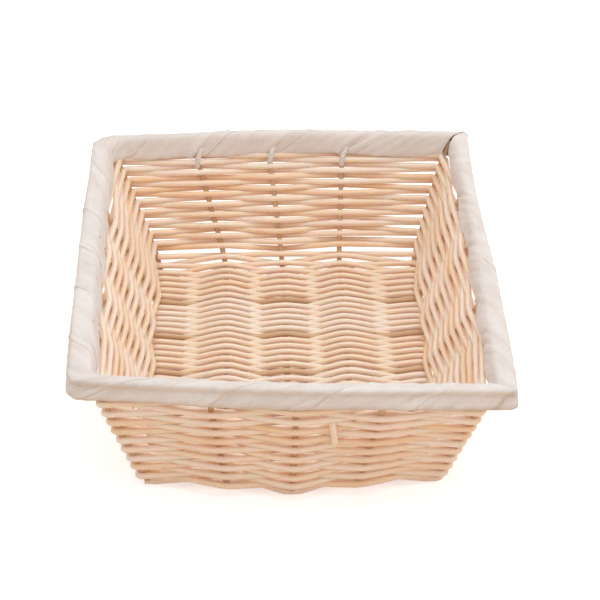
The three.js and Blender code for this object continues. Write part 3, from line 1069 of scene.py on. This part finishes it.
def strip_lift(turn, width, distance, strip_width):
    """How far the strip stands off the wound surface."""
    share = np.mod(turn, 1.0)
    from_trailing = width * strip_width
    lift = EDGE_LIFT * np.exp(-(from_trailing / EDGE_FADE) ** 2)
    lift = lift - EDGE_ROUND * np.exp(-(from_trailing / ROUND_FADE) ** 2)
    wander = PLEAT_WANDER * soft_waves(distance, turn, wave=90, seed=5)
    pleat = np.sin(2 * np.pi * from_trailing / PLEAT_PITCH + wander)
    strength = PLEAT_LEVEL + PLEAT_LEVEL * soft_waves(distance, turn, wave=70, seed=6)
    lift = lift + PLEAT_DEPTH * pleat * strength
    folds = fan_folds(share, distance) + face_hollow(share) + mitre_crease(share, distance)
    return lift + SWELL_DEPTH * soft_waves(distance, turn, wave=120, seed=7) + folds


lift = strip_lift(turn, width, rim_distance, leading - trailing)
print("folds stand off by", round(lift.min(), 1), "to", round(lift.max(), 1), "mm")

# %% Make the strip
STRIP_SINK = 0.6
STRIP_GIRTH = 54.0
FACE_BIAS = 1.5
SIDE_LEAN = 3.2
SLACK_LEAN = 2.4
SLACK_DROP = 1.6
END_LEAN = 0.8


def flap(distance):
    """0 at each gather and 1 half-way between two, where the slack cloth hangs lower and fuller."""
    return np.sin(np.pi * np.interp(distance, turn_places, np.arange(TURNS + 1))) ** 2


def strip_points(lift):
    """The grid on the rim, lifted off the section; the slack cloth leans in and hangs lower inside."""
    grow_across = lift * np.sign(across) * np.abs(across) ** FACE_BIAS
    grow_high = lift * np.sign(high) * np.abs(high) ** FACE_BIAS
    slack = flap(rim_distance)

    def out(reach, lean):
        middle = (reach - INNER_RIM_REACH) / 2
        return middle + (reach + INNER_RIM_REACH) / 2 * across + grow_across - lean * inner_low

    middle_z = (HEIGHT + RIM_BOTTOM_Z) / 2
    half_height = (HEIGHT - RIM_BOTTOM_Z) / 2
    z = middle_z + half_height * high + grow_high - SLACK_DROP * slack * inner_low
    side_lean = SIDE_LEAN + SLACK_LEAN * slack
    return rim_place(rim_distance, out(SIDE_RIM_REACH, side_lean), out(END_RIM_REACH, END_LEAN), z)


def make_strip():
    """Two skins a cloth's thickness apart, closed along all four edges."""
    skin = strip_points(lift - STRIP_SINK)
    lining = strip_points(lift - STRIP_SINK - STRIP_THICK)
    rows, columns = skin.shape[:2]
    points = np.concatenate([skin.reshape(-1, 3), lining.reshape(-1, 3)])
    index = np.arange(rows * columns).reshape(rows, columns)
    under = index + rows * columns
    quads = [np.stack([index[:-1, :-1], index[:-1, 1:], index[1:, 1:], index[1:, :-1]], axis=-1)]
    quads.append(np.stack([under[:-1, :-1], under[1:, :-1], under[1:, 1:], under[:-1, 1:]], axis=-1))
    around = np.concatenate([index[0, :-1], index[:-1, -1], index[-1, :0:-1], index[:0:-1, 0]])
    below = around + rows * columns
    quads.append(np.stack([around, below, np.roll(below, -1), np.roll(around, -1)], axis=-1))
    faces = np.concatenate([quad.reshape(-1, 4) for quad in quads])
    across_strip = (leading - trailing) * width
    grain = np.stack([turn * STRIP_GIRTH + 0 * width, across_strip, 0 * across_strip], axis=-1)
    grain = np.tile(grain.reshape(-1, 3), (2, 1))
    return settle(make_piece("rim_cloth", points, faces.tolist(), grain), "cloth", "rim_wrap")


strip = make_strip()
area = sum(face.area for face in strip.data.polygons) / 2
print("strip area:", round(area, 4), "m2")

# %% [markdown]
# ## Gathers
# At each upright the winder pulled the strip tight. On the two short walls it bunches inside the rim into
# a short twisted roll that tucks in behind the top course. It could be one lump of cloth, but three
# plies that wind about one line show the twist, and the tube maker already makes a ply.

# %% Twisted gathers
PLIES = 3
PLY_RADIUS = 1.1
PLY_SIDES = 10
TWIST = 8.0
WAIST = 0.75
SWELL_AT_ENDS = 0.35
LOW_TUCK = 4.6
HIGH_TUCK = 2.2


def gather_line(post):
    """From under the fold on the inner face, down over the rim's edge and in behind the top course."""
    upright, out = posts[post]
    clockwise = vec(out[1], -out[0], 0)
    low = LOW_TUCK if is_outside(COURSES - 1, post) else HIGH_TUCK
    base = upright.top + vec(0, 0, rim_rise(upright.top[1]))

    def spot(aside, inward, rise):
        """A place by the way clockwise, inwards and up from the upright's top."""
        return base + clockwise * aside - out * inward + vec(0, 0, rise)

    places = [
        spot(3.2, 1.8, 9.0),
        spot(1.2, 3.6, 4.5),
        spot(0.2, 4.6, 0.8),
        spot(-0.2, 4.4, 1.0 - low),
        spot(-0.2, 2.0, -low),
    ]
    ways = np.gradient(np.array(places), axis=0)
    return strand_line([(place, unit(way)) for place, way in zip(places, ways)])


def make_gather(post):
    line = gather_line(post)
    across, upward = carried_frames(line)
    distance = distances(line)
    slim = WAIST + SWELL_AT_ENDS * np.cos(2 * np.pi * distance / distance[-1]) ** 2
    plies = []
    for ply in range(PLIES):
        angle = 2 * np.pi * (ply / PLIES + distance / TWIST)
        swing = np.cos(angle)[:, None] * across + np.sin(angle)[:, None] * upward
        plies.append(line + swing * (slim * PLY_RADIUS)[:, None])
    tones = [MIDDLE_TONE] * PLIES
    gather = make_tubes(f"rim_gather_{post:02d}", plies, PLY_RADIUS, PLY_SIDES, tones)
    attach(gather, "root")
    return gather


gathers = [make_gather(post) for post in PLAIN_POSTS if posts[post][1][1]]
print("gathers:", len(gathers))

# %% [markdown]
# ## Cane finish
# Round cane is the peeled core of a climbing palm. It is cream with fine fibres along it, a soft satin
# shine, and one strand is always a little darker than the next. A picture of cane would repeat. The map
# that each strand carries runs along its length, so stretched noise gives fibres that follow every bend
# and never come twice. Light goes a few millimetres into the cane, which warms the creases.

# %% Colours
def srgb(red, green, blue):
    """A colour as it looks on a screen, 0 to 255, as the shader wants it."""
    channels = np.array([red, green, blue]) / 255
    linear = np.where(channels <= 0.04045, channels / 12.92, ((channels + 0.055) / 1.055) ** 2.4)
    return (*linear.tolist(), 1.0)


print("mid grey as the shader wants it:", round(srgb(128, 128, 128)[0], 3))


# %% Kinds of node
class Finish:
    """A material and the few kinds of node that the finishes are made of."""

    def __init__(self, name):
        self.material = bpy.data.materials.new(name)
        self.material.use_nodes = True
        self.nodes = self.material.node_tree.nodes
        self.links = self.material.node_tree.links
        self.shader = self.nodes["Principled BSDF"]

    def join(self, output, socket):
        self.links.new(output, socket)

    def attribute(self, name, output):
        node = self.nodes.new("ShaderNodeAttribute")
        node.attribute_name = name
        return node.outputs[output]

    def stretched(self, vector, scale):
        node = self.nodes.new("ShaderNodeMapping")
        node.inputs["Scale"].default_value = scale
        self.join(vector, node.inputs["Vector"])
        return node.outputs["Vector"]

    def noise(self, vector, scale, detail=3.0, rough=0.5):
        node = self.nodes.new("ShaderNodeTexNoise")
        node.inputs["Scale"].default_value = scale
        node.inputs["Detail"].default_value = detail
        node.inputs["Roughness"].default_value = rough
        self.join(vector, node.inputs["Vector"])
        return node.outputs["Fac"]

    def ramp(self, fac, stops):
        node = self.nodes.new("ShaderNodeValToRGB")
        elements = node.color_ramp.elements
        while len(elements) < len(stops):
            elements.new(0.5)
        for element, (place, colour) in zip(elements, stops):
            element.position = place
            element.color = colour
        self.join(fac, node.inputs["Fac"])
        return node.outputs["Color"]

    def span(self, value, low, high, to_low, to_high):
        node = self.nodes.new("ShaderNodeMapRange")
        sockets = ("From Min", "From Max", "To Min", "To Max")
        for socket, number in zip(sockets, (low, high, to_low, to_high)):
            node.inputs[socket].default_value = number
        self.join(value, node.inputs["Value"])
        return node.outputs["Result"]

    def sum(self, first, second, share):
        node = self.nodes.new("ShaderNodeMath")
        node.operation = "MULTIPLY_ADD"
        node.inputs[1].default_value = share
        self.join(second, node.inputs[0])
        self.join(first, node.inputs[2])
        return node.outputs["Value"]

    def bump(self, height, strength, distance):
        node = self.nodes.new("ShaderNodeBump")
        node.inputs["Strength"].default_value = strength
        node.inputs["Distance"].default_value = distance
        self.join(height, node.inputs["Height"])
        self.join(node.outputs["Normal"], self.shader.inputs["Normal"])

    def set(self, **numbers):
        for socket, number in numbers.items():
            self.shader.inputs[socket.replace("_", " ")].default_value = number

    def put_on(self, *pieces):
        for piece in pieces:
            piece.data.materials.clear()
            piece.data.materials.append(self.material)


print("pieces to dress:", len([*rods, *floors, *courses, core, strip, *gathers]))


# %% Cane
def make_cane():
    finish = Finish("cream_cane")
    grain = finish.attribute("grain", "Vector")
    tone = finish.attribute("tone", "Fac")
    fibres = finish.noise(finish.stretched(grain, (26.0, 1500.0, 1.0)), 1.0, detail=4.0, rough=0.6)
    patches = finish.noise(finish.stretched(grain, (22.0, 60.0, 1.0)), 1.0, detail=2.0)
    uneven = finish.sum(finish.sum(patches, fibres, 0.45), tone, 0.5)
    shade = finish.span(uneven, 0.45, 1.3, 0.0, 1.0)
    cane = finish.ramp(shade, [
        (0.0, srgb(239, 200, 153)),
        (0.4, srgb(244, 217, 189)),
        (1.0, srgb(246, 229, 214)),
    ])
    finish.join(cane, finish.shader.inputs["Base Color"])
    finish.join(finish.span(fibres, 0.3, 0.7, 0.46, 0.36), finish.shader.inputs["Roughness"])
    finish.bump(fibres, 0.25, 0.00012)
    finish.set(Subsurface_Weight=0.6, Subsurface_Scale=0.003, Coat_Weight=1.0, Coat_Roughness=0.4)
    finish.shader.inputs["Subsurface Radius"].default_value = (1.0, 0.5, 0.2)
    return finish


cane = make_cane()
cane.put_on(*floors, *courses)
print("cane on", len(floors) + len(courses), "pieces")

# %% [markdown]
# ## Rods, core and cotton
# The rods are taupe and streaked, darker than the cane, so they read as a darker line wherever the weave
# lets them show. Part of that darkness is a greyer tone of their own and part is painted shade, for the
# shadow in the gaps. The core is raw wood, so one finish with two sets of colours serves both. The
# cotton is a plain weave: two sets of threads cross at right angles along the strip's own map, so the
# threads turn with the strip. Slubs and soft clouds keep it from looking printed.

# %% Rods and core
def make_rod_finish(name, dark, middle, pale):
    finish = Finish(name)
    grain = finish.attribute("grain", "Vector")
    tone = finish.attribute("tone", "Fac")
    streaks = finish.noise(finish.stretched(grain, (14.0, 900.0, 300.0)), 1.0, detail=5.0, rough=0.65)
    patches = finish.noise(finish.stretched(grain, (30.0, 80.0, 40.0)), 1.0, detail=2.0)
    uneven = finish.sum(finish.sum(patches, streaks, 0.9), tone, 0.25)
    shade = finish.span(uneven, 0.6, 1.4, 0.0, 1.0)
    wood = finish.ramp(shade, [(0.0, dark), (0.5, middle), (1.0, pale)])
    finish.join(wood, finish.shader.inputs["Base Color"])
    finish.join(finish.span(streaks, 0.3, 0.7, 0.7, 0.5), finish.shader.inputs["Roughness"])
    finish.bump(streaks, 0.4, 0.00015)
    return finish


# The rod colours are darker than the cane: partly their own greyer tone, partly painted shade for the
# gaps where they show.
rod_finish = make_rod_finish("rod_tone_and_painted_shade", srgb(188, 142, 100), srgb(213, 176, 138), srgb(228, 198, 166))
rod_finish.put_on(*rods)
core_finish = make_rod_finish("raw_core", srgb(164, 116, 78), srgb(194, 148, 110), srgb(214, 174, 138))
core_finish.put_on(core)
print("rods and core dressed")

# %% Cotton
THREADS_PER_METRE = 1900.0
BANDS_PER_SCALE = 3.18


def make_cotton():
    finish = Finish("cream_cotton")
    grain = finish.attribute("grain", "Vector")

    def threads(direction):
        node = finish.nodes.new("ShaderNodeTexWave")
        node.wave_type = "BANDS"
        node.bands_direction = direction
        node.wave_profile = "SIN"
        node.inputs["Scale"].default_value = THREADS_PER_METRE / BANDS_PER_SCALE
        node.inputs["Distortion"].default_value = 1.2
        node.inputs["Detail"].default_value = 2.0
        node.inputs["Detail Scale"].default_value = 0.6
        finish.join(grain, node.inputs["Vector"])
        return node.outputs["Fac"]

    weave = finish.sum(threads("X"), threads("Y"), 1.0)
    slubs = finish.noise(finish.stretched(grain, (420.0, 900.0, 1.0)), 1.0, rough=0.6)
    clouds = finish.noise(grain, 60.0)
    flecks = finish.noise(grain, 650.0, detail=2.0)
    mottle = finish.sum(finish.sum(clouds, slubs, 0.6), flecks, 0.5)
    shade = finish.span(finish.sum(mottle, weave, 0.12), 0.8, 1.4, 0.0, 1.0)
    cotton = finish.ramp(shade, [
        (0.0, srgb(217, 206, 199)),
        (0.5, srgb(230, 221, 215)),
        (1.0, srgb(240, 233, 229)),
    ])
    finish.join(cotton, finish.shader.inputs["Base Color"])
    finish.join(finish.span(slubs, 0.3, 0.7, 0.95, 0.82), finish.shader.inputs["Roughness"])
    finish.bump(finish.sum(weave, slubs, 0.8), 0.35, 0.00018)
    finish.set(Sheen_Weight=0.15, Sheen_Roughness=0.5, Specular_IOR_Level=0.2)
    return finish


cotton = make_cotton()
cotton.put_on(strip, *gathers)
print("cotton on the strip")

# %% [markdown]
# ## Stage
# The floor and the background are white in the photograph. More light would whiten them, but it would
# bleach the basket as well. So the world and the floor show white to the camera, and their light on the
# basket stays at a plain level. Two large soft lamps add the gentle shading, one from above and a weak
# one from the right.

# %% World
SKY_TINT = (1.0, 0.985, 0.965, 1.0)
SKY_STRENGTH = 0.86
WHITE = (1.0, 1.0, 1.0, 1.0)


def background_rays(nodes, links):
    """1 for a ray that shows the background: to the camera, in a gloss or through glass."""
    path = nodes.new("ShaderNodeLightPath")
    either = nodes.new("ShaderNodeMath")
    either.operation = "MAXIMUM"
    links.new(path.outputs["Is Camera Ray"], either.inputs[0])
    links.new(path.outputs["Is Glossy Ray"], either.inputs[1])
    any_ray = nodes.new("ShaderNodeMath")
    any_ray.operation = "MAXIMUM"
    links.new(either.outputs["Value"], any_ray.inputs[0])
    links.new(path.outputs["Is Transmission Ray"], any_ray.inputs[1])
    return any_ray.outputs["Value"]


def make_world():
    world = bpy.data.worlds.new("studio")
    bpy.context.scene.world = world
    world.use_nodes = True
    nodes, links = world.node_tree.nodes, world.node_tree.links
    nodes.clear()
    output = nodes.new("ShaderNodeOutputWorld")
    soft = nodes.new("ShaderNodeBackground")
    soft.inputs["Color"].default_value = SKY_TINT
    soft.inputs["Strength"].default_value = SKY_STRENGTH
    white = nodes.new("ShaderNodeBackground")
    white.inputs["Color"].default_value = WHITE
    white.inputs["Strength"].default_value = 1.0
    mix = nodes.new("ShaderNodeMixShader")
    links.new(background_rays(nodes, links), mix.inputs["Fac"])
    links.new(soft.outputs[0], mix.inputs[1])
    links.new(white.outputs[0], mix.inputs[2])
    links.new(mix.outputs[0], output.inputs["Surface"])


make_world()
bpy.context.scene.view_settings.view_transform = "Standard"
bpy.context.scene.cycles.max_bounces = 16
bpy.context.scene.cycles.diffuse_bounces = 12
print("world:", bpy.context.scene.world.name)


# %% Lamps
LAMP_WHITE = (1.0, 0.985, 0.97)


def make_lamp(name, place, target, size, power):
    data = bpy.data.lights.new(name, "AREA")
    data.shape = "DISK"
    data.size = size
    data.energy = power
    data.color = LAMP_WHITE
    lamp = bpy.data.objects.new(name, data)
    bpy.context.collection.objects.link(lamp)
    lamp.location = place
    direction = np.array(target) - np.array(place)
    yaw = math.atan2(direction[0], -direction[1])
    pitch = math.acos(-direction[2] / np.linalg.norm(direction))
    lamp.rotation_euler = (pitch, 0, yaw + math.pi)


make_lamp("top_light", (0.3, 0.1, 1.5), (0, 0.02, 0.03), 1.2, 5.6)
make_lamp("side_light", (1.4, -0.8, 0.6), (0, 0, 0.04), 0.9, 1.9)
print("lamps:", len(bpy.data.lights))


# %% Floor under the basket
FLOOR_REACH = 3.0
FLOOR_DROP = 0.0002
FLOOR_GLOW = 0.5


def make_floor():
    """A pale floor that takes the basket's soft shadow; a little glow brings it to white."""
    mesh = bpy.data.meshes.new("studio_floor")
    corners = [(x * FLOOR_REACH, y * FLOOR_REACH, 0) for x, y in ((-1, -1), (1, -1), (1, 1), (-1, 1))]
    mesh.from_pydata(corners, [], [(0, 1, 2, 3)])
    floor = bpy.data.objects.new("studio_floor", mesh)
    bpy.context.collection.objects.link(floor)
    finish = Finish("pale_floor")
    seen = background_rays(finish.nodes, finish.links)
    tint = finish.ramp(seen, [(0.0, srgb(218, 186, 154)), (1.0, srgb(243, 242, 240))])
    finish.join(tint, finish.shader.inputs["Base Color"])
    finish.set(Roughness=0.9, Specular_IOR_Level=0.1, Emission_Color=WHITE)
    finish.join(finish.span(seen, 0, 1, 0, FLOOR_GLOW), finish.shader.inputs["Emission Strength"])
    finish.put_on(floor)
    floor.location.z = -FLOOR_DROP
    return floor


studio_floor = make_floor()
print("floor at", studio_floor.location.z, "m")
